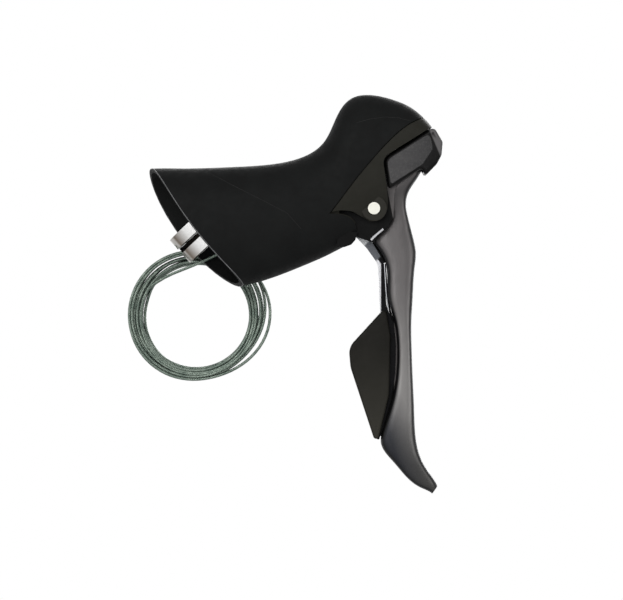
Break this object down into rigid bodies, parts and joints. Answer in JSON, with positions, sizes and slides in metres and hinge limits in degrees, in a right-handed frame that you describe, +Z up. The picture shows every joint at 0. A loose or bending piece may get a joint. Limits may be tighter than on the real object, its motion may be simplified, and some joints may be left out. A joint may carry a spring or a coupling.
{
  "type": "road brake shift lever",
  "caption": "Right-hand brake and shift lever for a drop bar: clamp bracket, rubber hood, brake blade that also swings to shift, release paddle and coiled shift cable.",
  "frame": {"origin": "on the handlebar's axis, at the middle of the clamp band", "axes": "+X forward, +Y to the rider's left, +Z up; the bar runs forward and down through the clamp"},
  "size_m": [0.1256, 0.0418, 0.1594],
  "materials": {
    "hood_rubber": "matte moulded rubber",
    "bracket_resin": "fine-grained moulded resin",
    "bright_steel": "polished",
    "plated_steel": "zinc plated",
    "pin_steel": "ground end",
    "cast_alloy": "black painted die casting",
    "brass_fitting": "turned",
    "spring_steel": "drawn wire",
    "cover_resin": "satin moulded resin",
    "plate_gloss": "gloss",
    "drum_resin": "moulded",
    "blade_alloy": "satin anodised",
    "arm_steel": "black plated",
    "paddle_resin": "matte moulded resin",
    "cable_steel": "stranded wire"
  },
  "bodies": {
    "bracket": {"hood": "hood_rubber", "bracket_body": "bracket_resin", "clamp_band": "bright_steel", "clamp_nut": "plated_steel", "clamp_bolt": "plated_steel", "lever_axle": "pin_steel", "cable_guide": "plated_steel", "shift_cable_lead": "cable_steel", "shift_cable_coil": "cable_steel"},
    "brake_unit": {"lever_carrier": "cast_alloy", "brake_cable_hook": "brass_fitting", "brake_return_spring": "spring_steel", "shift_axle": "plated_steel", "axle_nut": "plated_steel", "front_plate": "plated_steel", "front_bush": "brass_fitting", "unit_cover": "cover_resin", "name_plate": "plate_gloss", "holding_pawl_pin": "plated_steel", "lever_return_spring": "spring_steel", "release_spring": "spring_steel"},
    "main_lever": {"main_lever": "blade_alloy", "winding_pawl_pin": "plated_steel"},
    "release_lever": {"release_arm": "arm_steel", "release_paddle": "paddle_resin"},
    "cable_drum": {"cable_drum": "drum_resin", "ratchet_wheel": "plated_steel", "drum_spring": "spring_steel"},
    "holding_pawl": {"holding_pawl": "plated_steel"},
    "winding_pawl": {"winding_pawl": "plated_steel"}
  },
  "joints": [
    {"name": "brake_pull", "type": "hinge", "parent": "bracket", "child": "brake_unit", "pos_m": [0.0678, 0, 0.0084], "axis": [0, 1, 0], "range_deg": [0, 22], "stiffness_Nm_per_rad": 0.5, "springref_deg": -8.59},
    {"name": "main_lever_swing", "type": "hinge", "parent": "brake_unit", "child": "main_lever", "pos_m": [0.0824, 0, 0.028], "axis": [0.8241, 0, 0.5664], "range_deg": [0, 18], "stiffness_Nm_per_rad": 0.4, "springref_deg": -8.59},
    {"name": "release_lever_swing", "type": "hinge", "parent": "main_lever", "child": "release_lever", "pos_m": [0.0824, 0, 0.028], "axis": [0.8241, 0, 0.5664], "range_deg": [0, 16], "stiffness_Nm_per_rad": 0.2, "springref_deg": -8.59},
    {"name": "drum_turn", "type": "hinge", "parent": "brake_unit", "child": "cable_drum", "pos_m": [0.0824, 0, 0.028], "axis": [0.8241, 0, 0.5664], "range_deg": [0, 18]},
    {"name": "holding_pawl_lift", "type": "hinge", "parent": "brake_unit", "child": "holding_pawl", "pos_m": [0.07974, 0.00814, 0.03187], "axis": [0.8241, 0, 0.5664], "range_deg": [-10.5, 0]},
    {"name": "winding_pawl_lift", "type": "hinge", "parent": "main_lever", "child": "winding_pawl", "pos_m": [0.07719, -0.00195, 0.03558], "axis": [0.8241, 0, 0.5664], "range_deg": [-10.5, 0]}
  ],
  "couplings": [
    {"joint": "drum_turn", "follows": "main_lever_swing", "ratio": 1},
    {"joint": "holding_pawl_lift", "follows": "main_lever_swing", "ratio": -0.58333},
    {"joint": "winding_pawl_lift", "follows": "release_lever_swing", "ratio": -0.65625}
  ]
}
